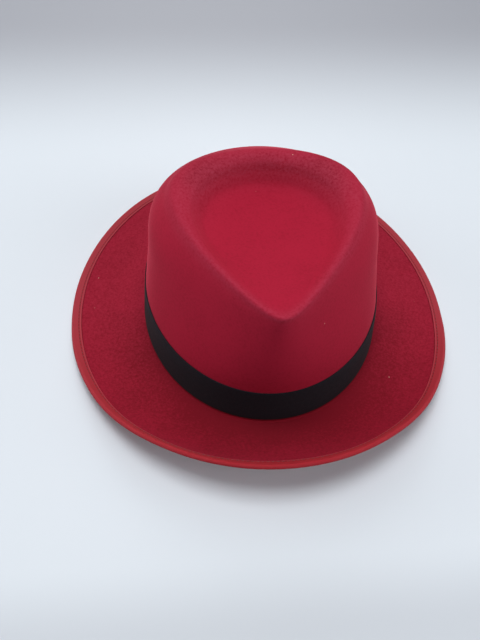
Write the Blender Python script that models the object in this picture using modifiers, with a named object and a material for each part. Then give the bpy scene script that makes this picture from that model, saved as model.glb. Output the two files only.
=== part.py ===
"""A red felt fedora: one blocked piece of felt, a plain ribbon band and a ribbon folded over the brim's edge.

Metres, +Z up, the front of the hat towards -Y. The hat lies on the plane z = 0 as it would by itself.
"""

import math

import bpy
import numpy as np

# Felt, ribbons and the clearance between pieces
FELT = 0.0020
BAND_RIBBON = 0.0010
BINDING_RIBBON = 0.0010
CLEARANCE = 0.0003

# Head opening, measured inside the felt: its front reaches from its widest place to the forehead
HEAD_WIDTH = 0.165
HEAD_FRONT = 0.098
HEAD_BACK = 0.0935

# Crown, measured up from the fold where the brim begins
CROWN_HEIGHT = 0.1015
DENT_DEPTH = 0.0175
FOLD_RADIUS = 0.0015

# Ribbons and brim, measured along the felt
BAND_HEIGHT = 0.0283
BRIM_WIDTH = 0.052
BINDING_WIDTH = 0.0065

# How the hat lies: the crown leans towards the front, and its weight presses the lowest stretch of the
# brim flat, with an eased bend between what is pressed and what is free
LEAN = math.radians(1.0)
PRESS = 0.0016
PRESS_EASE = 0.0008

# Fineness of the faceted model
COLUMNS = 60
BRIM_STEPS = 5
BINDING_STEPS = 2
FOLD_STEPS = 2
BAND_STEPS = 3
CROWN_STEPS = 2

# Sections of the crown from the band's top over the crest into the dent. Width, front and back are shares
# of the head's half width, front and back. Point is 0 for an oval and near 1 for a teardrop whose point is
# at the front. Square fills the section's rear corners, or below 0 rounds them off. Rise is the share of
# the crown above the band, at the front and at the back, and sink is the share of the dent's depth taken
# off it.
CROWN_COLUMNS = ("width", "front", "back", "point", "square", "rise_front", "rise_back",
                 "sink_front", "sink_back")
CROWN_SECTIONS = (
    (0.970, 0.952, 0.995, 0.05, 0.00, 0.000, 0.000, 0.00, 0.00),
    (0.932, 0.918, 0.950, 0.48, -0.06, 0.333, 0.333, 0.00, 0.00),
    (0.895, 0.882, 0.865, 1.05, -0.08, 0.676, 0.642, 0.00, 0.00),
    (0.790, 0.866, 0.675, 1.30, -0.02, 0.866, 0.840, 0.00, 0.00),
    (0.700, 0.850, 0.515, 1.40, 0.05, 0.926, 0.985, 0.00, 0.00),
    (0.600, 0.790, 0.435, 1.30, 0.00, 0.920, 1.000, 0.05, 0.20),
    (0.540, 0.700, 0.395, 1.00, 0.00, 0.920, 1.000, 0.14, 0.60),
    (0.478, 0.590, 0.350, 0.80, 0.00, 0.920, 1.000, 0.32, 0.98),
    (0.300, 0.400, 0.220, 0.45, 0.00, 0.920, 1.000, 0.58, 1.08),
    (0.130, 0.210, 0.020, 0.20, 0.00, 0.920, 1.000, 0.80, 1.08),
)

# Angle of the turn that the rounding of a teardrop's point spans
TIP_SPAN = math.radians(52.0)

# Slope of the brim from the front round one side to the back, upwards and outwards, in degrees: where it
# leaves the crown and at its edge. The rows are evenly spread over the half turn, and COLUMNS is a multiple
# of the twelve that they make over the full one.
BRIM_COLUMNS = ("root", "edge")
BRIM_SLOPES = (
    (30.0, 50.0),
    (13.0, 62.0),
    (-9.0, 42.0),
    (-8.0, 2.0),
    (-13.0, 12.0),
    (-10.5, 6.0),
    (-11.0, 0.0),
)
EDGE_CURL = 2.0

FELT_RED = (0.42, 0.012, 0.028, 1.0)
BAND_BLACK = (0.012, 0.010, 0.011, 1.0)
BINDING_RED = (0.36, 0.035, 0.040, 1.0)


def clear_scene():
    """Remove what the file holds."""
    for obj in list(bpy.data.objects):
        bpy.data.objects.remove(obj)


def turn():
    """Angles of the columns round the hat, from the front towards +X."""
    return np.linspace(0.0, 2.0 * math.pi, COLUMNS, endpoint=False)


def section(width, front, back, point, square, height_front, height_back):
    """One closed section: an oval, or with point a teardrop, sloping from its front to its back."""
    angle = turn()
    taper = (np.sin(angle / 2.0) ** 2 + math.sin(TIP_SPAN / 2.0) ** 2) ** (point / 2.0)
    across = np.sin(angle) * taper
    backward = (1.0 - np.cos(angle)) / 2.0 * (1.0 + square * np.sin(angle) ** 2)
    x = width * across / across.max()
    y = -front + (front + back) * backward
    z = height_front + (height_back - height_front) * backward
    return np.stack([x, y, z], axis=1)


def knots_between(rows):
    """Places of the rows along the surface, as far apart as the rows are on average."""
    gaps = np.linalg.norm(np.diff(rows, axis=0), axis=2).mean(axis=1)
    return np.concatenate(([0.0], np.cumsum(gaps)))


def smooth_rows(rows, knots, steps):
    """Rows of a smooth surface through the given ones, with its number of steps from each to the next."""
    tangents = np.gradient(rows, knots, axis=0)
    result = []
    for index, count in enumerate(steps):
        gap = knots[index + 1] - knots[index]
        for step in range(count):
            t = step / count
            start = (2.0 * t**3 - 3.0 * t**2 + 1.0) * rows[index]
            leave = (t**3 - 2.0 * t**2 + t) * gap * tangents[index]
            end = (3.0 * t**2 - 2.0 * t**3) * rows[index + 1]
            arrive = (t**3 - t**2) * gap * tangents[index + 1]
            result.append(start + leave + end + arrive)
    result.append(rows[-1])
    return np.array(result)


def around(rows):
    """Direction along each row, from the column before to the column after."""
    return np.roll(rows, -1, axis=1) - np.roll(rows, 1, axis=1)


def normals(rows):
    """Outward unit normals of a surface whose rows run inwards and up, and columns towards +X."""
    across = np.cross(around(rows), np.gradient(rows, axis=0))
    return across / np.linalg.norm(across, axis=2, keepdims=True)


def crown_surface():
    """Outer face of the crown: from the foot of the wall over the crest to the middle of the dent."""
    half = HEAD_WIDTH / 2.0 + FELT
    front = HEAD_FRONT + FELT
    back = HEAD_BACK + FELT
    above = CROWN_HEIGHT - BAND_HEIGHT
    rows = [section(half, front, back, 0.0, 0.0, FOLD_RADIUS, FOLD_RADIUS)]
    for values in CROWN_SECTIONS:
        row = dict(zip(CROWN_COLUMNS, values))
        height_front = BAND_HEIGHT + row["rise_front"] * above - row["sink_front"] * DENT_DEPTH
        height_back = BAND_HEIGHT + row["rise_back"] * above - row["sink_back"] * DENT_DEPTH
        rows.append(section(row["width"] * half, row["front"] * front, row["back"] * back,
                            row["point"], row["square"], height_front, height_back))
    rows = np.array(rows)
    steps = [BAND_STEPS] + [CROWN_STEPS] * (len(rows) - 2)
    return smooth_rows(rows, knots_between(rows), steps)


def brim_slopes():
    """The slopes of BRIM_COLUMNS by name, each with one value in radians for every column."""
    half_turn = list(BRIM_SLOPES)
    full_turn = half_turn + half_turn[-2:0:-1]
    overlap = 2
    closed = np.radians(full_turn[-overlap:] + full_turn + full_turn[:overlap])
    per_row = COLUMNS // len(full_turn)
    fine = smooth_rows(closed, np.arange(len(closed)), [per_row] * (len(closed) - 1))
    start = overlap * per_row
    return dict(zip(BRIM_COLUMNS, fine[start:start + COLUMNS].T[:, :, None]))


def brim_surface(foot):
    """Upper face of the brim from its edge in to the fold, under a wall that starts at the foot's row."""
    along = around(foot[None])[0]
    outward = np.stack([along[:, 1], -along[:, 0], np.zeros(COLUMNS)], axis=1)
    outward /= np.linalg.norm(outward, axis=1)[:, None]
    up = np.array([0.0, 0.0, 1.0])
    slopes = brim_slopes()
    root, edge = slopes["root"], slopes["edge"]
    centre = foot + outward * FOLD_RADIUS
    rows = []
    for step in range(1, FOLD_STEPS + 1):
        turned = (math.pi / 2.0 + root) * step / FOLD_STEPS
        rows.append(centre + FOLD_RADIUS * (-np.cos(turned) * outward - np.sin(turned) * up))
    shares = np.linspace(0.0, 1.0 - BINDING_WIDTH / BRIM_WIDTH, BRIM_STEPS + 1)
    bound = np.linspace(shares[-1], 1.0, BINDING_STEPS + 1)
    shares = np.concatenate([shares, bound[1:]])
    for near, far in zip(shares[:-1], shares[1:]):
        slope = root + (edge - root) * ((near + far) / 2.0) ** EDGE_CURL
        length = (far - near) * BRIM_WIDTH
        rows.append(rows[-1] + length * (np.cos(slope) * outward + np.sin(slope) * up))
    return np.array(rows[::-1])


def lay_down(points):
    """Turn points from the upright crown's frame to that of the hat as it leans."""
    x, y, z = np.moveaxis(points, -1, 0)
    leaned_y = y * math.cos(LEAN) - z * math.sin(LEAN)
    leaned_z = y * math.sin(LEAN) + z * math.cos(LEAN)
    return np.stack([x, leaned_y, leaned_z], axis=-1)


def pressed(height):
    """Height above the lowest level that the felt can reach, after the table has pressed it."""
    eased = (height + PRESS_EASE) ** 2 / (4.0 * PRESS_EASE)
    return np.where(height <= -PRESS_EASE, 0.0, np.where(height >= PRESS_EASE, height, eased))


def hat_surface():
    """Upper and outer face of the felt in the table's frame: brim rows and crown rows."""
    crown = crown_surface()
    brim = lay_down(brim_surface(crown[0]))
    crown = lay_down(crown)
    resting = FELT + CLEARANCE + BINDING_RIBBON
    lift = np.array([0.0, 0.0, resting - PRESS - brim[..., 2].min()])
    brim = brim + lift
    brim[..., 2] = resting + pressed(brim[..., 2] - resting)
    outline = binding_rows(brim)
    middle = (outline.min(axis=(0, 1)) + outline.max(axis=(0, 1))) / 2.0
    middle[2] = 0.0
    return brim - middle, crown + lift - middle


def binding_rows(brim):
    """Middle of the folded ribbon, from its upper leg round the brim's edge to its lower leg."""
    leg = brim[:BINDING_STEPS + 1]
    upward = normals(leg)
    outward = leg[0] - leg[1]
    outward /= np.linalg.norm(outward, axis=1)[:, None]
    reach = CLEARANCE + BINDING_RIBBON / 2.0
    corner = reach * math.sin(math.pi / 4.0)
    edge, rise = leg[0], upward[0]
    under = edge - rise * FELT
    rows = list((leg + upward * reach)[::-1])
    rows.append(edge + rise * corner + outward * corner)
    rows.append(edge + outward * reach)
    rows.append(under + outward * reach)
    rows.append(under - rise * corner + outward * corner)
    rows.extend(leg - upward * (FELT + reach))
    return np.array(rows)


def loft(name, rows, close_middle=False):
    """Mesh object of quads between the rows, its last row closed to a point where asked."""
    count, columns = rows.shape[:2]
    points = [tuple(point) for point in rows.reshape(-1, 3)]
    faces = []
    for row in range(count - 1):
        for column in range(columns):
            following = (column + 1) % columns
            faces.append((row * columns + column, row * columns + following,
                          (row + 1) * columns + following, (row + 1) * columns + column))
    if close_middle:
        points.append(tuple(rows[-1].mean(axis=0)))
        last = (count - 1) * columns
        for column in range(columns):
            faces.append((last + column, last + (column + 1) % columns, len(points) - 1))
    mesh = bpy.data.meshes.new(name)
    mesh.from_pydata(points, [], faces)
    mesh.shade_smooth()
    return bpy.data.objects.new(name, mesh)


def thicken(obj, thickness, offset):
    """Wall of even thickness: offset -1 grows it inwards from the surface, 0 to both sides."""
    wall = obj.modifiers.new("wall", "SOLIDIFY")
    wall.thickness = thickness
    wall.offset = offset
    wall.use_even_offset = True


def finish(obj, colour, roughness):
    """Give a piece its own plain material."""
    material = bpy.data.materials.new(obj.name)
    material.use_nodes = True
    shader = material.node_tree.nodes["Principled BSDF"]
    shader.inputs["Base Color"].default_value = colour
    shader.inputs["Roughness"].default_value = roughness
    obj.data.materials.append(material)


def felt_body(brim, crown):
    """Crown and brim, blocked from one piece of felt."""
    obj = loft("felt_body", np.concatenate([brim, crown]), close_middle=True)
    thicken(obj, FELT, -1.0)
    finish(obj, FELT_RED, 0.95)
    return obj


def hat_band(crown):
    """Plain ribbon round the foot of the crown."""
    wall = crown[:BAND_STEPS + 2]
    face = (wall + normals(wall) * (CLEARANCE + BAND_RIBBON / 2.0))[:BAND_STEPS + 1]
    obj = loft("hat_band", face)
    thicken(obj, BAND_RIBBON, 0.0)
    finish(obj, BAND_BLACK, 0.7)
    return obj


def brim_binding(brim):
    """Ribbon folded over the edge of the brim, the same width underneath as on top."""
    obj = loft("brim_binding", binding_rows(brim))
    thicken(obj, BINDING_RIBBON, 0.0)
    finish(obj, BINDING_RED, 0.8)
    return obj


def main():
    """Build the hat in a collection of its own."""
    clear_scene()
    collection = bpy.data.collections.new("fedora")
    bpy.context.scene.collection.children.link(collection)
    brim, crown = hat_surface()
    for obj in (felt_body(brim, crown), hat_band(crown), brim_binding(brim)):
        collection.objects.link(obj)


main()
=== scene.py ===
"""A red felt fedora on a pale table: blocked felt, a plain black band and a ribbon round the brim.

The file is laid out as a Blender add-on and is run as a script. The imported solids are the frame, and each
piece made here stands for one of them. Metres, +Z up, the front of the hat towards -Y.
"""
import math

import bpy
import numpy as np
from bpy.props import FloatProperty, FloatVectorProperty, PointerProperty
from mathutils import Matrix, Vector


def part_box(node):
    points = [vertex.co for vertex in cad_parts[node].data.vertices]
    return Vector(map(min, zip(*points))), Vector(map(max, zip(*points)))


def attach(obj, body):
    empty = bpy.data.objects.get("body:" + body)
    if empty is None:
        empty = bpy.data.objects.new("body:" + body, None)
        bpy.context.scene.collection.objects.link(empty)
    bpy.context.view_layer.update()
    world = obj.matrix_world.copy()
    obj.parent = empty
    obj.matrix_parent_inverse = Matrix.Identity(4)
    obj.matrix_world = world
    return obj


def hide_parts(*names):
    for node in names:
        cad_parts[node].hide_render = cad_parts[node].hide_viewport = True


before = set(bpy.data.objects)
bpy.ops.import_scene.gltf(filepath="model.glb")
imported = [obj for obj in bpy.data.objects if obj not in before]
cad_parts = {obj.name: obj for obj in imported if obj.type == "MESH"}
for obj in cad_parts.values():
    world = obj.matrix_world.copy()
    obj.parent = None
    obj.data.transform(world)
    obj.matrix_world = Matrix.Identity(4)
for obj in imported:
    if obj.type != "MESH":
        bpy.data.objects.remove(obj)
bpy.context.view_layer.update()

bl_info = {
    "name": "Felt Fedora",
    "version": (1, 0, 0),
    "blender": (4, 5, 0),
    "location": "3D View > Sidebar > Fedora",
    "description": "Builds a blocked felt fedora with its band, its bound brim and a plain studio stage",
    "category": "Add Mesh",
}

MM = 0.001
BODY = "root"
COLLECTION = "fedora"
STITCH_SEED = 4

# Fineness of the visible mesh: columns round the hat, and steps between the rows of the tables below
COLUMNS = 240
BRIM_STEPS = 20
BINDING_STEPS = 5
TURN_STEPS = 10
FOLD_STEPS = 6
BAND_STEPS = 8
CROWN_STEPS = 8

# Corners of a wall that turn by more than this, in degrees, are rounded
SHARP_CORNER = 50.0

# Sections of the crown from the band's top over the crest into the dent. Width, front and back are shares
# of the head's half width, front and back. Point is 0 for an oval, and grows with the sharpness of a
# teardrop whose point is at the front. Square fills the section's rear corners, or below 0 rounds them
# off. Rise is the share of the crown above the band, at the front and at the back, and sink is the share
# of the dent's depth taken off it.
CROWN_COLUMNS = ("width", "front", "back", "point", "square", "rise_front", "rise_back", "sink_front",
                 "sink_back")
CROWN_SECTIONS = (
    (0.970, 0.952, 0.995, 0.05, 0.00, 0.000, 0.000, 0.00, 0.00),
    (0.932, 0.918, 0.950, 0.48, -0.06, 0.333, 0.333, 0.00, 0.00),
    (0.895, 0.882, 0.865, 1.05, -0.08, 0.676, 0.642, 0.00, 0.00),
    (0.790, 0.866, 0.675, 1.30, -0.02, 0.866, 0.840, 0.00, 0.00),
    (0.700, 0.850, 0.515, 1.40, 0.05, 0.926, 0.985, 0.00, 0.00),
    (0.600, 0.790, 0.435, 1.30, 0.00, 0.920, 1.000, 0.05, 0.20),
    (0.540, 0.700, 0.395, 1.00, 0.00, 0.920, 1.000, 0.14, 0.60),
    (0.478, 0.590, 0.350, 0.80, 0.00, 0.920, 1.000, 0.32, 0.98),
    (0.300, 0.400, 0.220, 0.45, 0.00, 0.920, 1.000, 0.58, 1.08),
    (0.130, 0.210, 0.020, 0.20, 0.00, 0.920, 1.000, 0.80, 1.08),
)

# Slope of the brim from the front round one side to the back, upwards and outwards, in degrees: where it
# leaves the crown and at its edge. The rows are evenly spread over the half turn. The curl is the power of
# the share of the way out with which the slope turns from the one into the other.
BRIM_COLUMNS = ("root", "edge")
BRIM_SLOPES = (
    (30.0, 50.0),
    (13.0, 62.0),
    (-9.0, 42.0),
    (-8.0, 2.0),
    (-13.0, 12.0),
    (-10.5, 6.0),
    (-11.0, 0.0),
)
EDGE_CURL = 2.0

# Marks on the crown that its material reads: the row of CROWN_SECTIONS round which each lies, its reach in
# rows and its strength
CROWN_MARKS = {
    # Painted shade in the dent's rear corners, then painted highlight on the ridges and on the dent's rear
    # wall
    "shaded_corners": (4.6, 0.9, 0.5),
    "ridge_highlight": (4.0, 0.8, 0.6),
    "rear_wall_sheen": (5.2, 1.6, 0.8),
}

# The room's soft lights, which face one place: name, place, side in metres, and power in watts
LIGHTS = (
    ("ceiling_lamp", (-0.08, 0.02, 1.3), 0.6, 8.3),
    ("ceiling", (0.0, 0.35, 1.3), 1.2, 3.7),
    ("window", (0.0, 1.3, 0.9), 0.9, 5.8),
    ("front_left", (-0.9, -0.9, 0.9), 0.9, 2.0),
    ("front_right", (0.9, -0.9, 0.9), 0.9, 4.0),
    ("side_left", (-1.3, 0.3, 0.35), 0.7, 5.0),
    ("side_right", (1.3, -0.3, 0.4), 0.7, 4.0),
)
LIT_PLACE = (0.0, 0.0, 0.05)

# Side of the table in metres, and the long side of the camera's sensor in millimetres
TABLE_SIDE = 8.0
SENSOR_SIDE = 36.0


def linear(code):
    """An sRGB hex colour as linear red, green, blue and a full alpha."""
    shares = [int(code[start:start + 2], 16) / 255.0 for start in (1, 3, 5)]
    return [s / 12.92 if s <= 0.04045 else ((s + 0.055) / 1.055) ** 2.4 for s in shares] + [1.0]


def length_of(name, description, default):
    """A property that holds a length in metres."""
    return FloatProperty(name=name, description=description, default=default, unit="LENGTH", precision=5)


def angle_of(name, description, degrees):
    """A property that holds an angle, whose default is given in degrees."""
    return FloatProperty(name=name, description=description, default=math.radians(degrees),
                         subtype="ANGLE")


def colour_of(name, description, code):
    """A property that holds a colour, whose default is given as sRGB hex."""
    return FloatVectorProperty(name=name, description=description, default=linear(code), size=4,
                               subtype="COLOR", min=0.0, max=1.0)


class HatSizes(bpy.types.PropertyGroup):
    """Sizes of the hat: those of its solids, with ribbons as thin as real ones, and a few finer ones."""

    felt: length_of("Felt", "Thickness of the pressed felt", 0.0020)
    band_ribbon: length_of("Band ribbon", "Thickness of the band's ribbon", 0.0006)
    binding_ribbon: length_of("Binding ribbon", "Thickness of the ribbon round the brim's edge", 0.00045)
    clearance: length_of("Clearance", "Gap between the felt and a ribbon on it", 0.0001)
    head_width: length_of("Head width", "Width of the opening inside the felt", 0.165)
    head_front: length_of("Head front", "From the opening's widest place to the forehead", 0.098)
    head_back: length_of("Head back", "From the opening's widest place to the back of the head", 0.0935)
    crown_height: length_of("Crown height", "From the fold where the brim begins to the top", 0.1015)
    dent_depth: length_of("Dent depth", "Depth of the teardrop dent in the crown", 0.0175)
    fold_radius: length_of("Fold radius", "Radius of the fold between crown and brim", 0.0015)
    tip_span: angle_of("Tip span", "Angle of the turn that the rounding of the point spans", 52.0)
    band_height: length_of("Band height", "Width of the band's ribbon", 0.0283)
    brim_width: length_of("Brim width", "From the fold to the brim's edge, along the felt", 0.0524)
    binding_width: length_of("Binding width", "How far the binding reaches in from the edge", 0.0065)
    lean: angle_of("Lean", "How far the crown leans towards the front", 1.0)
    press: length_of("Press", "How far the table presses the lowest stretch of the brim", 0.0016)
    press_ease: length_of("Press ease", "Half the height over which the pressing fades out", 0.0008)
    edge_turn: length_of("Edge turn", "How deep the round turn of the binding over the edge is", 0.0012)
    edge_rounding: length_of("Edge rounding", "Radius of the felt's corners under the binding", 0.0006)
    band_rounding: length_of("Band rounding", "Radius of the corners of its ribbon", 0.0003)
    binding_rounding: length_of("Binding rounding", "Radius of the corners of its ribbon", 0.0002)
    stitch_pitch: length_of("Stitch pitch", "From one stitch of the binding to the next", 0.0030)
    stitch_length: length_of("Stitch length", "Length of the thread that shows of one stitch", 0.0019)
    stitch_inset: length_of("Stitch inset", "From the binding's inner edge to its stitches", 0.0017)
    stitch_lowest: length_of("Lowest stitch", "Height below which the table hides the stitches", 0.0005)
    thread: length_of("Thread", "Thickness of the sewing thread", 0.00050)


class HatColours(bpy.types.PropertyGroup):
    """Colours of the hat's materials."""

    felt: colour_of("Felt", "The dyed felt seen straight on", "#a91734")
    # Deeper red of the brim and of random clouds, also used as painted shade in the brim's front fold, the
    # dent's rear corners and beside the binding
    felt_pressed_and_shaded: colour_of("Felt, pressed", "The felt where it was pressed hardest", "#77081b")
    felt_fuzz: colour_of("Felt fuzz", "Light that the fine hairs scatter at a grazing angle", "#ff6a80")
    # Painted highlight on the ridges, the dent's rear wall and the brim but its front
    felt_sheen_painted: colour_of("Felt, rubbed", "The nap where it stands up on the ridges", "#a63c52")
    lint: colour_of("Lint", "The few fibres that cling to the felt", "#e6c3b0")
    band: colour_of("Band", "The black ribbon", "#14121b")
    # The ribbon as painted in shade at the front; the next colour is the same ribbon painted lit, from the
    # sides on
    binding: colour_of("Binding", "The ribbon round the brim's edge, where it stayed fresh", "#a41e27")
    binding_painted_lit: colour_of("Binding, faded", "That ribbon where it lies open to the light", "#a43842")
    # Paler along the ribbon's edges and in random patches, and a painted highlight where it turns over the
    # brim's edge
    binding_pale_and_highlight: colour_of("Binding edge", "That ribbon's selvedge, paler than its middle", "#b2444f")
    # Painted shade in the groove along the stitches
    binding_groove_shade: colour_of("Binding seam", "The groove that the stitches pull into it", "#7a1a22")
    # The thread's red, darkened with painted shade for the shade that the stitches lie in
    thread: colour_of("Thread", "The sewing thread", "#701720")
    room: colour_of("Room", "The even light from all round", "#f1f4ff")
    table: colour_of("Table", "The pale table", "#e5edf5")
    # Painted shade on the table behind the hat and at its near end
    table_far_shade: colour_of("Table, far", "The table in the dimmer far part of the room", "#a4a6af")


class StageSettings(bpy.types.PropertyGroup):
    """Camera, light and table."""

    elevation: angle_of("Elevation", "How far the camera looks down", 53.93)
    azimuth: angle_of("Azimuth", "How far the camera stands to the left of the hat's front", 7.48)
    roll: angle_of("Roll", "Tilt of the camera about its line of sight", 4.03)
    distance: length_of("Distance", "From the camera to the middle of the hat's foot", 0.4733)
    aside: length_of("Aside", "How far the camera is moved to its left", 0.0137)
    down: length_of("Down", "How far the camera is moved downwards in the picture", 0.0140)
    lens: FloatProperty(name="Lens", description="Focal length in millimetres for a 36 mm long side",
                        default=34.875, min=10.0)
    world: FloatProperty(name="World", description="Strength of the even light from all round",
                         default=0.02, min=0.0)


def turn():
    """Angles of the columns round the hat, from the front towards +X."""
    return np.linspace(0.0, 2.0 * math.pi, COLUMNS, endpoint=False)


def section(sizes, width, front, back, point, square, height_front, height_back):
    """One closed section: an oval, or with point a teardrop, sloping from its front to its back."""
    angle = turn()
    taper = (np.sin(angle / 2.0) ** 2 + math.sin(sizes.tip_span / 2.0) ** 2) ** (point / 2.0)
    across = np.sin(angle) * taper
    backward = (1.0 - np.cos(angle)) / 2.0 * (1.0 + square * np.sin(angle) ** 2)
    x = width * across / across.max()
    y = -front + (front + back) * backward
    z = height_front + (height_back - height_front) * backward
    return np.stack([x, y, z], axis=1)


def smooth_rows(rows, knots, steps):
    """Rows of a smooth surface through the given ones, with its number of steps from each to the next."""
    tangents = np.gradient(rows, knots, axis=0)
    result = []
    for index, count in enumerate(steps):
        gap = knots[index + 1] - knots[index]
        for step in range(count):
            t = step / count
            start = (2.0 * t**3 - 3.0 * t**2 + 1.0) * rows[index]
            leave = (t**3 - 2.0 * t**2 + t) * gap * tangents[index]
            end = (3.0 * t**2 - 2.0 * t**3) * rows[index + 1]
            arrive = (t**3 - t**2) * gap * tangents[index + 1]
            result.append(start + leave + end + arrive)
    result.append(rows[-1])
    return np.array(result)


def around(rows):
    """Direction along each row, from the column before to the column after."""
    return np.roll(rows, -1, axis=1) - np.roll(rows, 1, axis=1)


def normals(rows):
    """Outward unit normals of a surface whose rows run inwards and up, and columns towards +X."""
    across = np.cross(around(rows), np.gradient(rows, axis=0))
    return across / np.linalg.norm(across, axis=2, keepdims=True)


def crown_surface(sizes):
    """Outer face of the crown: from the foot of the wall over the crest to the middle of the dent."""
    half = sizes.head_width / 2.0 + sizes.felt
    front = sizes.head_front + sizes.felt
    back = sizes.head_back + sizes.felt
    above = sizes.crown_height - sizes.band_height
    rows = [section(sizes, half, front, back, 0.0, 0.0, sizes.fold_radius, sizes.fold_radius)]
    for values in CROWN_SECTIONS:
        row = dict(zip(CROWN_COLUMNS, values))
        height_front = sizes.band_height + row["rise_front"] * above - row["sink_front"] * sizes.dent_depth
        height_back = sizes.band_height + row["rise_back"] * above - row["sink_back"] * sizes.dent_depth
        rows.append(section(sizes, row["width"] * half, row["front"] * front, row["back"] * back,
                            row["point"], row["square"], height_front, height_back))
    rows = np.array(rows)
    gaps = np.linalg.norm(np.diff(rows, axis=0), axis=2).mean(axis=1)
    knots = np.concatenate(([0.0], np.cumsum(gaps)))
    return smooth_rows(rows, knots, [BAND_STEPS] + [CROWN_STEPS] * (len(rows) - 2))


def brim_slopes():
    """The slopes of BRIM_COLUMNS by name, each with one value in radians for every column."""
    half_turn = list(BRIM_SLOPES)
    full_turn = half_turn + half_turn[-2:0:-1]
    overlap = 2
    closed = np.radians(full_turn[-overlap:] + full_turn + full_turn[:overlap])
    per_row = COLUMNS // len(full_turn)
    fine = smooth_rows(closed, np.arange(len(closed)), [per_row] * (len(closed) - 1))
    start = overlap * per_row
    return dict(zip(BRIM_COLUMNS, fine[start:start + COLUMNS].T[:, :, None]))


def brim_surface(sizes, foot):
    """Upper face of the brim from its edge in to the fold, under a wall that starts at the foot's row."""
    along = around(foot[None])[0]
    outward = np.stack([along[:, 1], -along[:, 0], np.zeros(COLUMNS)], axis=1)
    outward /= np.linalg.norm(outward, axis=1)[:, None]
    up = np.array([0.0, 0.0, 1.0])
    slopes = brim_slopes()
    root, edge = slopes["root"], slopes["edge"]
    centre = foot + outward * sizes.fold_radius
    rows = []
    for step in range(1, FOLD_STEPS + 1):
        turned = (math.pi / 2.0 + root) * step / FOLD_STEPS
        rows.append(centre + sizes.fold_radius * (-np.cos(turned) * outward - np.sin(turned) * up))
    shares = np.linspace(0.0, 1.0 - sizes.binding_width / sizes.brim_width, BRIM_STEPS + 1)
    bound = np.linspace(shares[-1], 1.0, BINDING_STEPS + 1)
    shares = np.concatenate([shares, bound[1:]])
    for near, far in zip(shares[:-1], shares[1:]):
        slope = root + (edge - root) * ((near + far) / 2.0) ** EDGE_CURL
        length = (far - near) * sizes.brim_width
        rows.append(rows[-1] + length * (np.cos(slope) * outward + np.sin(slope) * up))
    return np.array(rows[::-1])


def lay_down(sizes, points):
    """Turn points from the upright crown's frame to that of the hat as it leans."""
    x, y, z = np.moveaxis(points, -1, 0)
    leaned_y = y * math.cos(sizes.lean) - z * math.sin(sizes.lean)
    leaned_z = y * math.sin(sizes.lean) + z * math.cos(sizes.lean)
    return np.stack([x, leaned_y, leaned_z], axis=-1)


def pressed(sizes, height):
    """Height above the lowest level that the felt can reach, after the table has pressed it."""
    ease = sizes.press_ease
    eased = (height + ease) ** 2 / (4.0 * ease)
    return np.where(height <= -ease, 0.0, np.where(height >= ease, height, eased))


def hat_surface(sizes):
    """Upper and outer face of the felt in the table's frame: brim rows and crown rows."""
    crown = crown_surface(sizes)
    brim = lay_down(sizes, brim_surface(sizes, crown[0]))
    crown = lay_down(sizes, crown)
    resting = sizes.felt + sizes.clearance + sizes.binding_ribbon
    lift = np.array([0.0, 0.0, resting - sizes.press - brim[..., 2].min()])
    brim = brim + lift
    brim[..., 2] = resting + pressed(sizes, brim[..., 2] - resting)
    binding_box = np.array(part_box("brim_binding"))
    middle = (brim.min(axis=(0, 1)) + brim.max(axis=(0, 1))) / 2.0 - binding_box.mean(axis=0)
    middle[2] = 0.0
    return brim - middle, crown + lift - middle


def lengths_along(rows):
    """Distance run along the rows up to each column, from the hat's back, with the full turn last."""
    ring = np.roll(rows.mean(axis=0), COLUMNS // 2, axis=0)
    steps = np.linalg.norm(np.roll(ring, -1, axis=0) - ring, axis=1)
    return np.concatenate(([0.0], np.cumsum(steps)))


def loft(name, rows, close_middle=False):
    """Mesh object of quads between the rows, with a UV map in metres that starts at the hat's back."""
    count, columns = rows.shape[:2]
    points = [tuple(point) for point in rows.reshape(-1, 3)]
    across = np.concatenate(([0.0], np.cumsum(np.linalg.norm(np.diff(rows, axis=0), axis=2).mean(axis=1))))
    along = lengths_along(rows)
    faces, corners = [], []
    for row in range(count - 1):
        for column in range(columns):
            following = (column + 1) % columns
            faces.append((row * columns + column, row * columns + following,
                          (row + 1) * columns + following, (row + 1) * columns + column))
            place = (column + columns // 2) % columns
            for step, up in ((0, 0), (1, 0), (1, 1), (0, 1)):
                corners.extend((along[place + step], across[row + up]))
    if close_middle:
        points.append(tuple(rows[-1].mean(axis=0)))
        last = (count - 1) * columns
        for column in range(columns):
            faces.append((last + column, last + (column + 1) % columns, len(points) - 1))
            place = (column + columns // 2) % columns
            for step, up in ((0, 0), (1, 0), (0, 0)):
                corners.extend((along[place + step], across[-1]))
    mesh = bpy.data.meshes.new(name)
    mesh.from_pydata(points, [], faces)
    mesh.uv_layers.new(name="run").data.foreach_set("uv", corners)
    mesh.shade_smooth()
    obj = bpy.data.objects.new(name, mesh)
    hat_collection().objects.link(obj)
    return obj


def hat_collection():
    """The collection that holds the visible pieces."""
    found = bpy.data.collections.get(COLLECTION)
    if found is None:
        found = bpy.data.collections.new(COLLECTION)
        bpy.context.scene.collection.children.link(found)
    return found


def thicken(obj, thickness, offset, rounding, segments):
    """Give an open surface a wall with rounded corners: offset -1 grows it inwards, 0 to both sides."""
    wall = obj.modifiers.new("wall", "SOLIDIFY")
    wall.thickness = thickness
    wall.offset = offset
    wall.use_even_offset = True
    edge = obj.modifiers.new("edge", "BEVEL")
    edge.width = rounding
    edge.segments = segments
    edge.limit_method = "ANGLE"
    edge.angle_limit = math.radians(SHARP_CORNER)


def made_plain(obj):
    """Turn what the object's modifiers make of it into its own mesh, and drop them."""
    bpy.context.view_layer.update()
    evaluated = obj.evaluated_get(bpy.context.evaluated_depsgraph_get())
    mesh = bpy.data.meshes.new_from_object(evaluated)
    obj.modifiers.clear()
    obj.data = mesh
    mesh.shade_smooth()


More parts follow.
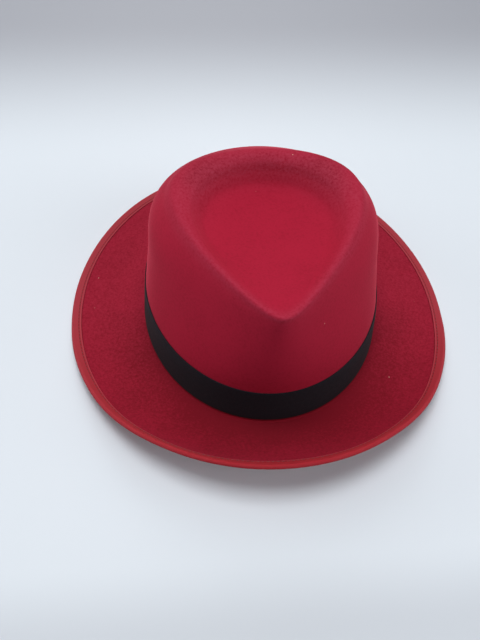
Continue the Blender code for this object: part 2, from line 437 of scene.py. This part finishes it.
def worn_by_hat(obj, material, slot, *nodes):
    """Give a piece its material and its body, and let it stand for nodes of the frame. Its slot is not
    used.
    """
    obj.data.materials.clear()
    obj.data.materials.append(material)
    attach(obj, BODY)
    if nodes:
        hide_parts(*nodes)


def add(tree, kind, links=None, **settings):
    """Add a node and give back its outputs. Links are its inputs, each a socket or a value."""
    node = tree.nodes.new(kind)
    for key, value in settings.items():
        setattr(node, key, value)
    for key, value in (links or {}).items():
        if isinstance(value, bpy.types.NodeSocket):
            tree.links.new(value, node.inputs[key])
        else:
            node.inputs[key].default_value = value
    return node.outputs


def per_metre(millimetres):
    """Scale of a texture whose grains are this many millimetres across."""
    return 1.0 / (millimetres * MM)


def ribs_per_metre(millimetres):
    """Scale of a wave texture with ribs this many millimetres apart. At scale 1 they are pi / 10 apart."""
    return per_metre(millimetres) * math.pi / 10.0


def new_material(name):
    """An empty material and its node tree."""
    material = bpy.data.materials.new(name)
    material.use_nodes = True
    material.node_tree.nodes.clear()
    return material, material.node_tree


def near_line(tree, value, place, reach):
    """How near a value is to a place: 1 on it, and 0 from the given reach on to both sides."""
    away = add(tree, "ShaderNodeMath", {0: value, 1: place}, operation="SUBTRACT")[0]
    apart = add(tree, "ShaderNodeMath", {0: away}, operation="ABSOLUTE")[0]
    return add(tree, "ShaderNodeMapRange",
               {"Value": apart, "From Max": reach, "To Min": 1.0, "To Max": 0.0},
               interpolation_type="SMOOTHSTEP")[0]


def layered(tree, colour, layers):
    """A colour under layers, each with its share from 0 to 1 and its own colour, the last one on top.

    A mix node takes the two colours as its inputs 6 and 7, and gives the mixed one as its output 2.
    """
    for share, cover in layers:
        colour = add(tree, "ShaderNodeMix", {"Factor": share, 6: colour, 7: cover},
                     data_type="RGBA", clamp_factor=True)[2]
    return colour


def pressed_wool_felt(colours, sizes):
    """Wool felt, dyed, steamed and pressed on a block: dull and soft, with a short nap.

    The nap gives a fine grain and a pale bloom where the surface turns away from the eye. The felt is a
    deeper red in broad random clouds and a tone deeper all over the brim, with painted shade in the brim's
    fold at the front and in the dent's rear corners, and a painted highlight on the ridges, the dent's rear
    wall and the brim but its front. A few pale fibres cling to it, and a narrow painted shadow of the
    binding lies beside it.
    """
    nap_mm = 1.6           # real fibres are a tenth of this: drawn as coarse as the picture can show
    grain_mm = 0.5
    cloud_mm = 28.0
    cloud_share = 0.3
    unevenness = 0.38
    # width and strength of a painted shadow of the binding on the felt beside it
    shade_line_mm = 0.5
    line_shade_share = 0.55
    lint_mm = 17.0
    lint_share = 0.6
    material, tree = new_material("pressed_wool_felt")
    place = add(tree, "ShaderNodeTexCoord")["Object"]
    nap = add(tree, "ShaderNodeTexNoise",
              {"Vector": place, "Scale": per_metre(nap_mm), "Detail": 5.0, "Roughness": 0.7})["Fac"]
    grain = add(tree, "ShaderNodeTexNoise",
                {"Vector": place, "Scale": per_metre(grain_mm), "Detail": 3.0, "Roughness": 0.6})["Fac"]
    cloud = add(tree, "ShaderNodeTexNoise",
                {"Vector": place, "Scale": per_metre(cloud_mm), "Detail": 3.0, "Roughness": 0.6})["Fac"]
    both = add(tree, "ShaderNodeMath", {0: cloud, 1: cloud_share, 2: nap}, operation="MULTIPLY_ADD")[0]
    uneven = add(tree, "ShaderNodeMapRange", {
        "Value": both, "From Min": 0.4, "From Max": 0.9, "To Min": unevenness, "To Max": -unevenness})[0]
    # painted shade in the brim's front fold and the dent's rear corners, over the brim's deeper tone
    pressing_and_shade = add(tree, "ShaderNodeAttribute", attribute_name="pressing_and_shade")["Fac"]
    share = add(tree, "ShaderNodeMath", {0: pressing_and_shade, 1: uneven}, operation="ADD")[0]
    run = add(tree, "ShaderNodeUVMap", uv_map="run")[0]
    across = add(tree, "ShaderNodeSeparateXYZ", {0: run})["Y"]
    # painted shadow of the binding on the felt
    shade_line = near_line(tree, across, sizes.binding_width + shade_line_mm * MM / 2.0, shade_line_mm * MM)
    deep = add(tree, "ShaderNodeMath", {0: shade_line, 1: line_shade_share, 2: share}, operation="MULTIPLY_ADD")[0]
    # painted highlight on the ridges, the dent's rear wall and the brim but its front
    painted_sheen = add(tree, "ShaderNodeAttribute", attribute_name="painted_sheen")["Fac"]
    nap_speckle = add(tree, "ShaderNodeMapRange",
                 {"Value": nap, "From Min": 0.33, "From Max": 0.67, "To Min": 0.1, "To Max": 0.92})[0]
    highlight_share = add(tree, "ShaderNodeMath", {0: painted_sheen, 1: nap_speckle}, operation="MULTIPLY")[0]
    fibre = add(tree, "ShaderNodeTexVoronoi", {"Vector": place, "Scale": per_metre(lint_mm)})["Distance"]
    lint = add(tree, "ShaderNodeMapRange", {
        "Value": fibre, "From Min": 0.014, "From Max": 0.028, "To Min": lint_share, "To Max": 0.0})[0]
    colour = layered(tree, colours.felt, (
        (deep, colours.felt_pressed_and_shaded), (highlight_share, colours.felt_sheen_painted), (lint, colours.lint)))
    relief = add(tree, "ShaderNodeMath", {0: grain, 1: 0.5, 2: nap}, operation="MULTIPLY_ADD")[0]
    bump = add(tree, "ShaderNodeBump", {"Height": relief, "Strength": 0.5, "Distance": 0.15 * MM})[0]
    shader = add(tree, "ShaderNodeBsdfPrincipled", {
        "Base Color": colour, "Roughness": 0.92, "Specular IOR Level": 0.18,
        "Sheen Weight": 0.5, "Sheen Roughness": 0.28, "Sheen Tint": colours.felt_fuzz, "Normal": bump})[0]
    add(tree, "ShaderNodeOutputMaterial", {"Surface": shader})
    return material


def black_grosgrain(colours):
    """Grosgrain ribbon in black viscose, woven with fine cross ribs: nearly no gloss, a faint bloom."""
    rib_mm = 0.8           # real ribs are half of this: drawn as coarse as a near view needs
    dust_mm = 2.5
    material, tree = new_material("black_grosgrain")
    run = add(tree, "ShaderNodeUVMap", uv_map="run")[0]
    place = add(tree, "ShaderNodeTexCoord")["Object"]
    ribs = add(tree, "ShaderNodeTexWave",
               {"Vector": run, "Scale": ribs_per_metre(rib_mm), "Distortion": 0.0},
               bands_direction="X", wave_profile="SIN")["Fac"]
    dust = add(tree, "ShaderNodeTexNoise",
               {"Vector": place, "Scale": per_metre(dust_mm), "Detail": 4.0, "Roughness": 0.7})["Fac"]
    dull = add(tree, "ShaderNodeMapRange",
               {"Value": dust, "From Min": 0.3, "From Max": 0.8, "To Min": 0.78, "To Max": 0.95})[0]
    bump = add(tree, "ShaderNodeBump", {"Height": ribs, "Strength": 0.35, "Distance": 0.12 * MM})[0]
    shader = add(tree, "ShaderNodeBsdfPrincipled", {
        "Base Color": colours.band, "Roughness": dull, "Specular IOR Level": 0.22,
        "Sheen Weight": 0.03, "Sheen Roughness": 0.5, "Normal": bump})[0]
    add(tree, "ShaderNodeOutputMaterial", {"Surface": shader})
    return material


def red_petersham(colours, sizes, width):
    """Petersham ribbon in warm red, woven with a firm edge: slight gloss on its ribs, a paler selvedge.

    The machine's stitches pull it into a shallow groove, with painted shade in it. It has a painted
    highlight where it turns over the brim's edge, and is painted lighter all over but at the front, where
    the brim turns up and shades it.
    """
    rib_mm = 0.9           # real ribs are a little finer: drawn as coarse as a near view needs
    dye_mm = 4.0
    dye_share = 0.25
    selvedge_mm = 1.1
    turn_highlight_share = 0.15
    shade_line_mm = 0.65
    line_shade_share = 0.75
    groove_height = -1.2   # in heights of a rib
    material, tree = new_material("red_petersham")
    run = add(tree, "ShaderNodeUVMap", uv_map="run")[0]
    place = add(tree, "ShaderNodeTexCoord")["Object"]
    ribs = add(tree, "ShaderNodeTexWave",
               {"Vector": run, "Scale": ribs_per_metre(rib_mm), "Distortion": 0.0},
               bands_direction="X", wave_profile="SIN")["Fac"]
    upper = add(tree, "ShaderNodeSeparateXYZ", {0: run})["Y"]
    lower = add(tree, "ShaderNodeMath", {0: width, 1: upper}, operation="SUBTRACT")[0]
    inward = add(tree, "ShaderNodeMath", {0: upper, 1: lower}, operation="MINIMUM")[0]
    edge = near_line(tree, inward, 0.0, selvedge_mm * MM)
    shade_line = near_line(tree, inward, sizes.stitch_inset, shade_line_mm * MM)
    # painted highlight where the ribbon turns over the brim's edge
    over = near_line(tree, inward, width / 2.0, sizes.binding_width / 2.0)
    dye = add(tree, "ShaderNodeTexNoise",
              {"Vector": place, "Scale": per_metre(dye_mm), "Detail": 4.0, "Roughness": 0.7})["Fac"]
    uneven = add(tree, "ShaderNodeMath", {0: dye, 1: dye_share, 2: edge}, operation="MULTIPLY_ADD")[0]
    paler = add(tree, "ShaderNodeMath", {0: over, 1: turn_highlight_share, 2: uneven}, operation="MULTIPLY_ADD")[0]
    # painted shade in the groove along the stitches
    painted_shade = add(tree, "ShaderNodeMath", {0: shade_line, 1: line_shade_share}, operation="MULTIPLY")[0]
    # painted light: 0 at the front, left in painted shade, and 1 from the sides on
    painted_lit = add(tree, "ShaderNodeAttribute", attribute_name="painted_lit")["Fac"]
    colour = layered(tree, colours.binding, (
        (painted_lit, colours.binding_painted_lit), (paler, colours.binding_pale_and_highlight), (painted_shade, colours.binding_groove_shade)))
    relief = add(tree, "ShaderNodeMath", {0: shade_line, 1: groove_height, 2: ribs},
                 operation="MULTIPLY_ADD")[0]
    bump = add(tree, "ShaderNodeBump", {"Height": relief, "Strength": 0.5, "Distance": 0.12 * MM})[0]
    shader = add(tree, "ShaderNodeBsdfPrincipled", {
        "Base Color": colour, "Roughness": 0.8, "Specular IOR Level": 0.07,
        "Sheen Weight": 0.03, "Sheen Roughness": 0.4, "Normal": bump})[0]
    add(tree, "ShaderNodeOutputMaterial", {"Surface": shader})
    return material


def spun_thread(colours):
    """Spun polyester sewing thread: a little glossier than the ribbon that it lies on."""
    twist_mm = 0.5
    material, tree = new_material("spun_thread")
    place = add(tree, "ShaderNodeTexCoord")["Object"]
    ply = add(tree, "ShaderNodeTexNoise",
              {"Vector": place, "Scale": per_metre(twist_mm), "Detail": 2.0, "Roughness": 0.5})["Fac"]
    dull = add(tree, "ShaderNodeMapRange",
               {"Value": ply, "From Min": 0.3, "From Max": 0.7, "To Min": 0.5, "To Max": 0.7})[0]
    shader = add(tree, "ShaderNodeBsdfPrincipled",
                 {"Base Color": colours.thread, "Roughness": dull, "Sheen Weight": 0.1})[0]
    add(tree, "ShaderNodeOutputMaterial", {"Surface": shader})
    return material


def white_laminate(colours):
    """Laminate table top, pressed and lightly textured: even and pale, with a weak wide gloss.

    Its colour has painted shade behind the hat, where the room's light falls off, and a little at its near
    end.
    """
    tone_mm = 400.0
    # painted shade on the table: behind the hat, and at its near end
    painted_shade = (
        {"From Min": 0.16, "From Max": 0.41, "To Max": 0.85},
        {"From Min": -0.185, "From Max": -0.23, "To Max": 0.3},
    )
    material, tree = new_material("white_laminate")
    place = add(tree, "ShaderNodeTexCoord")["Object"]
    tone = add(tree, "ShaderNodeTexNoise",
               {"Vector": place, "Scale": per_metre(tone_mm), "Detail": 1.0})["Fac"]
    dull = add(tree, "ShaderNodeMapRange",
               {"Value": tone, "From Min": 0.3, "From Max": 0.7, "To Min": 0.5, "To Max": 0.6})[0]
    depth = add(tree, "ShaderNodeSeparateXYZ", {0: place})["Y"]
    far, near = (add(tree, "ShaderNodeMapRange", {"Value": depth, **stretch},
                     interpolation_type="SMOOTHSTEP")[0] for stretch in painted_shade)
    table_shade_share = add(tree, "ShaderNodeMath", {0: far, 1: near}, operation="ADD")[0]
    colour = layered(tree, colours.table, ((table_shade_share, colours.table_far_shade),))
    shader = add(tree, "ShaderNodeBsdfPrincipled",
                 {"Base Color": colour, "Roughness": dull, "Specular IOR Level": 0.2})[0]
    add(tree, "ShaderNodeOutputMaterial", {"Surface": shader})
    return material


def binding_middle(sizes, brim):
    """Middle of the folded ribbon: its upper leg, a round turn over the brim's edge and its lower leg."""
    leg = brim[:BINDING_STEPS + 1].copy()
    upward = normals(brim)[:BINDING_STEPS + 1]
    outward = leg[0] - leg[1]
    outward /= np.linalg.norm(outward, axis=1)[:, None]
    reach = sizes.clearance + sizes.binding_ribbon / 2.0
    leg[0] += outward * (reach - sizes.edge_turn)
    rise = upward[0]
    half = sizes.felt / 2.0 + reach
    centre = leg[0] - rise * sizes.felt / 2.0
    rows = list((leg + upward * reach)[::-1])
    for step in range(1, TURN_STEPS):
        angle = math.pi * step / TURN_STEPS
        rows.append(centre + half * math.cos(angle) * rise + sizes.edge_turn * math.sin(angle) * outward)
    rows.extend(leg - upward * (sizes.felt + reach))
    return np.array(rows)


def ring_at(rows, distance, values):
    """What the values are on the ring that lies this far along the surface from its first row."""
    gaps = np.linalg.norm(np.diff(rows, axis=0), axis=2).mean(axis=1)
    places = np.concatenate(([0.0], np.cumsum(gaps)))
    row = int(np.searchsorted(places, distance)) - 1
    share = (distance - places[row]) / gaps[row]
    return values[row] * (1.0 - share) + values[row + 1] * share


def seam_tree():
    """Tree that lays a stitch at every pitch along a line, dipping into the cloth at both of its ends."""
    end_height = -0.6      # in thicknesses of the thread, as is the next one
    top_height = 0.7
    shortest = 0.88
    longest = 1.1
    tree = bpy.data.node_groups.new("seam", "GeometryNodeTree")
    tree.interface.new_socket("Line", in_out="INPUT", socket_type="NodeSocketGeometry")
    for name in ("Pitch", "Length", "Thread", "Lowest"):
        tree.interface.new_socket(name, in_out="INPUT", socket_type="NodeSocketFloat")
    tree.interface.new_socket("Seed", in_out="INPUT", socket_type="NodeSocketInt")
    tree.interface.new_socket("Material", in_out="INPUT", socket_type="NodeSocketMaterial")
    tree.interface.new_socket("Stitches", in_out="OUTPUT", socket_type="NodeSocketGeometry")
    given = add(tree, "NodeGroupInput")

    end = add(tree, "ShaderNodeMath", {0: given["Length"], 1: 0.5}, operation="MULTIPLY")[0]
    start = add(tree, "ShaderNodeMath", {0: given["Length"], 1: -0.5}, operation="MULTIPLY")[0]
    dip = add(tree, "ShaderNodeMath", {0: given["Thread"], 1: end_height}, operation="MULTIPLY")[0]
    top = add(tree, "ShaderNodeMath", {0: given["Thread"], 1: top_height}, operation="MULTIPLY")[0]
    arch = add(tree, "GeometryNodeCurveQuadraticBezier", {
        "Resolution": 5,
        "Start": add(tree, "ShaderNodeCombineXYZ", {"X": start, "Z": dip})[0],
        "Middle": add(tree, "ShaderNodeCombineXYZ", {"Z": top})[0],
        "End": add(tree, "ShaderNodeCombineXYZ", {"X": end, "Z": dip})[0]})[0]
    radius = add(tree, "ShaderNodeMath", {0: given["Thread"], 1: 0.5}, operation="MULTIPLY")[0]
    outline = add(tree, "GeometryNodeCurvePrimitiveCircle", {"Resolution": 6, "Radius": radius})[0]
    stitch = add(tree, "GeometryNodeCurveToMesh",
                 {"Curve": arch, "Profile Curve": outline, "Fill Caps": True})[0]

    line = add(tree, "GeometryNodeMeshToCurve", {"Mesh": given["Line"]})[0]
    spaced = add(tree, "GeometryNodeResampleCurve", {"Curve": line, "Length": given["Pitch"]},
                 mode="LENGTH")[0]
    outward = add(tree, "GeometryNodeInputNamedAttribute", {"Name": "outward"},
                  data_type="FLOAT_VECTOR")[0]
    tangent = add(tree, "GeometryNodeInputTangent")[0]
    aligned = add(tree, "FunctionNodeAxesToRotation", {0: outward, 1: tangent},
                  primary_axis="Z", secondary_axis="X")[0]
    position = add(tree, "GeometryNodeInputPosition")[0]
    height = add(tree, "ShaderNodeSeparateXYZ", {0: position})["Z"]
    free = add(tree, "FunctionNodeCompare", {0: height, 1: given["Lowest"]}, operation="GREATER_THAN")[0]
    uneven = add(tree, "FunctionNodeRandomValue", {"Min": shortest, "Max": longest, "Seed": given["Seed"]},
                 data_type="FLOAT")[1]
    sewn = add(tree, "GeometryNodeInstanceOnPoints", {
        "Points": spaced, "Selection": free, "Instance": stitch, "Rotation": aligned, "Scale": uneven})[0]
    solid = add(tree, "GeometryNodeRealizeInstances", {"Geometry": sewn})[0]
    dressed = add(tree, "GeometryNodeSetMaterial", {"Geometry": solid, "Material": given["Material"]})[0]
    add(tree, "NodeGroupOutput", {"Stitches": dressed})
    return tree


def set_inputs(modifier, values):
    """Set a modifier's inputs, given by their names, through the identifiers of their sockets."""
    for item in modifier.node_group.interface.items_tree:
        if item.in_out == "INPUT" and item.name in values:
            modifier[item.identifier] = values[item.name]


def seam_line(name, rings):
    """Mesh of closed lines, one for each pair of points and outward directions, to be sewn along."""
    points, edges, outward = [], [], []
    for ring, directions in rings:
        first = len(points)
        points.extend(tuple(point) for point in ring)
        edges.extend((first + index, first + (index + 1) % len(ring)) for index in range(len(ring)))
        outward.extend(directions.ravel())
    mesh = bpy.data.meshes.new(name)
    mesh.from_pydata(points, edges, [])
    mesh.attributes.new("outward", "FLOAT_VECTOR", "POINT").data.foreach_set("vector", outward)
    obj = bpy.data.objects.new(name, mesh)
    hat_collection().objects.link(obj)
    return obj


def away_from_front():
    """One value for each column: 0 at the front, and 1 from the sides on to the back."""
    return 1.0 - np.maximum(np.cos(turn()), 0.0)


def crown_mark(name, rows):
    """Strength of one of the crown's marks in each of its rows."""
    row, reach, strength = CROWN_MARKS[name]
    place = (np.arange(rows) - BAND_STEPS)[:, None] / CROWN_STEPS
    return strength * np.exp(-((place - row) / reach) ** 2)


def pressing_and_shade(brim_rows, crown_rows):
    """Deeper red at each point: a tone on the brim, painted shade in its front fold and the dent's rear
    corners.
    """
    on_brim = 0.45
    front_fold_shade = 0.95
    on_crown = 0.05
    fold_power = 1.2
    front_power = 0.5
    corner_cosine = -0.78  # of the angle from the front at which the rear corners lie
    corner_reach = 0.22
    fold = np.linspace(0.0, 1.0, brim_rows)[:, None] ** fold_power
    front = np.maximum(np.cos(turn()), 0.0)[None] ** front_power
    brim = on_brim + front_fold_shade * fold * front
    corner = np.exp(-((np.cos(turn()) - corner_cosine) / corner_reach) ** 2)[None]
    crown = on_crown + crown_mark("shaded_corners", crown_rows) * corner
    return np.append(np.concatenate([brim, crown]).ravel(), 0.0)


def painted_sheen(brim_rows, crown_rows):
    """How strong the painted highlight is: on the ridges, the dent's rear wall and the brim but its front.
    """
    on_brim = 0.2
    ridge_end = -0.75      # cosine of the angle from the front at which the ridge's painted highlight ends
    forward = np.clip(np.cos(turn()) - ridge_end, 0.0, 1.0)[None]
    ridge = crown_mark("ridge_highlight", crown_rows) * forward
    wall = crown_mark("rear_wall_sheen", crown_rows) * (1.0 - forward)
    brim = np.tile(on_brim * away_from_front(), (brim_rows, 1))
    return np.append(np.concatenate([brim, ridge + wall]).ravel(), 0.0)


def mark(mesh, name, values):
    """Give every point of a mesh one value that its material reads."""
    mesh.attributes.new(name, "FLOAT", "POINT").data.foreach_set("value", values)


class HAT_OT_felt(bpy.types.Operator):
    """Crown and brim, blocked from one piece of felt"""

    bl_idname = "hat.felt"
    bl_label = "Felt"

    def execute(self, context):
        sizes = context.scene.hat_sizes
        brim, crown = hat_surface(sizes)
        obj = loft("felt", np.concatenate([brim, crown]), close_middle=True)
        # Painted shade and painted highlight that the felt's colour reads
        mark(obj.data, "pressing_and_shade", pressing_and_shade(len(brim), len(crown)))
        mark(obj.data, "painted_sheen", painted_sheen(len(brim), len(crown)))
        thicken(obj, sizes.felt, -1.0, sizes.edge_rounding, segments=3)
        made_plain(obj)
        worn_by_hat(obj, pressed_wool_felt(context.scene.hat_colours, sizes), "felt", "felt_body")
        return {"FINISHED"}


class HAT_OT_band(bpy.types.Operator):
    """Plain ribbon round the foot of the crown"""

    bl_idname = "hat.band"
    bl_label = "Band"

    def execute(self, context):
        sizes = context.scene.hat_sizes
        _, crown = hat_surface(sizes)
        wall = crown[:BAND_STEPS + 2]
        face = (wall + normals(wall) * (sizes.clearance + sizes.band_ribbon / 2.0))[:BAND_STEPS + 1]
        obj = loft("band", face)
        thicken(obj, sizes.band_ribbon, 0.0, sizes.band_rounding, segments=3)
        made_plain(obj)
        worn_by_hat(obj, black_grosgrain(context.scene.hat_colours), "band_ribbon", "hat_band")
        return {"FINISHED"}


class HAT_OT_binding(bpy.types.Operator):
    """Ribbon folded over the edge of the brim, the same width underneath as on top"""

    bl_idname = "hat.binding"
    bl_label = "Binding"

    def execute(self, context):
        sizes = context.scene.hat_sizes
        brim, _ = hat_surface(sizes)
        rows = binding_middle(sizes, brim)
        width = np.linalg.norm(np.diff(rows, axis=0), axis=2).mean(axis=1).sum()
        obj = loft("binding", rows)
        # painted light on the ribbon but at its front
        mark(obj.data, "painted_lit", np.tile(away_from_front(), len(rows)))
        thicken(obj, sizes.binding_ribbon, 0.0, sizes.binding_rounding, segments=2)
        made_plain(obj)
        ribbon = red_petersham(context.scene.hat_colours, sizes, width)
        worn_by_hat(obj, ribbon, "binding_ribbon", "brim_binding")
        return {"FINISHED"}


class HAT_OT_stitches(bpy.types.Operator):
    """Row of stitches that holds the binding, on its upper face and its underside"""

    bl_idname = "hat.stitches"
    bl_label = "Stitches"

    def execute(self, context):
        sizes = context.scene.hat_sizes
        brim, _ = hat_surface(sizes)
        rows = binding_middle(sizes, brim)
        outward = -normals(rows)
        face = rows + outward * sizes.binding_ribbon / 2.0
        legs = ((face, outward), (face[::-1], outward[::-1]))
        rings = [[ring_at(leg, sizes.stitch_inset, values) for values in (leg, up)] for leg, up in legs]
        obj = seam_line("stitches", rings)
        thread = spun_thread(context.scene.hat_colours)
        seam = obj.modifiers.new("seam", "NODES")
        seam.node_group = seam_tree()
        set_inputs(seam, {
            "Pitch": sizes.stitch_pitch,
            "Length": sizes.stitch_length,
            "Thread": sizes.thread,
            "Lowest": sizes.stitch_lowest,
            "Seed": STITCH_SEED,
            "Material": thread,
        })
        made_plain(obj)
        worn_by_hat(obj, thread, "binding_ribbon")
        return {"FINISHED"}


class HAT_OT_stage(bpy.types.Operator):
    """Pale table, soft light and the camera"""

    bl_idname = "hat.stage"
    bl_label = "Stage"

    def execute(self, context):
        scene = context.scene
        settings = scene.hat_stage
        bpy.ops.mesh.primitive_plane_add(size=TABLE_SIDE)
        table = context.object
        table.name = "table"
        table.data.materials.append(white_laminate(scene.hat_colours))
        place_camera(scene, settings)
        for name, place, size, power in LIGHTS:
            area_light(scene, name, place, size, power)
        world = bpy.data.worlds.new("room")
        world.use_nodes = True
        background = world.node_tree.nodes["Background"]
        background.inputs["Color"].default_value = scene.hat_colours.room
        background.inputs["Strength"].default_value = settings.world
        scene.world = world
        scene.view_settings.view_transform = "Standard"
        return {"FINISHED"}


def area_light(scene, name, place, size, power):
    """A square light that faces the hat."""
    light = bpy.data.lights.new(name, "AREA")
    light.size = size
    light.energy = power
    obj = bpy.data.objects.new(name, light)
    obj.location = place
    obj.rotation_euler = (Vector(LIT_PLACE) - Vector(place)).to_track_quat("-Z", "Y").to_euler()
    scene.collection.objects.link(obj)


def place_camera(scene, settings):
    """Camera on an orbit round the middle of the hat's foot, shifted to the picture's framing."""
    data = bpy.data.cameras.new("camera")
    data.sensor_width = SENSOR_SIDE
    data.lens = settings.lens
    camera = bpy.data.objects.new("camera", data)
    looking_down = math.pi / 2.0 - settings.elevation
    camera.matrix_world = (Matrix.Rotation(-settings.azimuth, 4, "Z")
                           @ Matrix.Rotation(looking_down, 4, "X")
                           @ Matrix.Rotation(settings.roll, 4, "Z")
                           @ Matrix.Translation((-settings.aside, -settings.down, settings.distance)))
    scene.collection.objects.link(camera)
    scene.camera = camera


class HAT_PT_panel(bpy.types.Panel):
    """Lists the pieces of the hat with their sizes and colours"""

    bl_idname = "HAT_PT_panel"
    bl_label = "Fedora"
    bl_space_type = "VIEW_3D"
    bl_region_type = "UI"
    bl_category = "Fedora"

    def draw(self, context):
        layout = self.layout
        for operator in OPERATORS:
            layout.operator(operator.bl_idname)
        for name, group in SETTINGS.items():
            box = layout.box()
            settings = getattr(context.scene, name)
            for key in group.__annotations__:
                box.prop(settings, key)


SETTINGS = {"hat_sizes": HatSizes, "hat_colours": HatColours, "hat_stage": StageSettings}
OPERATORS = (HAT_OT_felt, HAT_OT_band, HAT_OT_binding, HAT_OT_stitches, HAT_OT_stage)
CLASSES = (*SETTINGS.values(), *OPERATORS, HAT_PT_panel)


def register():
    """Make the classes known, and give the scene their settings."""
    for cls in CLASSES:
        bpy.utils.register_class(cls)
    for name, group in SETTINGS.items():
        setattr(bpy.types.Scene, name, PointerProperty(type=group))


def unregister():
    """Take the settings and the classes away again."""
    for name in SETTINGS:
        delattr(bpy.types.Scene, name)
    for cls in reversed(CLASSES):
        bpy.utils.unregister_class(cls)


def main():
    """Build the pieces and the stage in order."""
    register()
    bpy.ops.hat.felt()
    bpy.ops.hat.band()
    bpy.ops.hat.binding()
    bpy.ops.hat.stitches()
    bpy.ops.hat.stage()


if __name__ == "__main__":
    main()
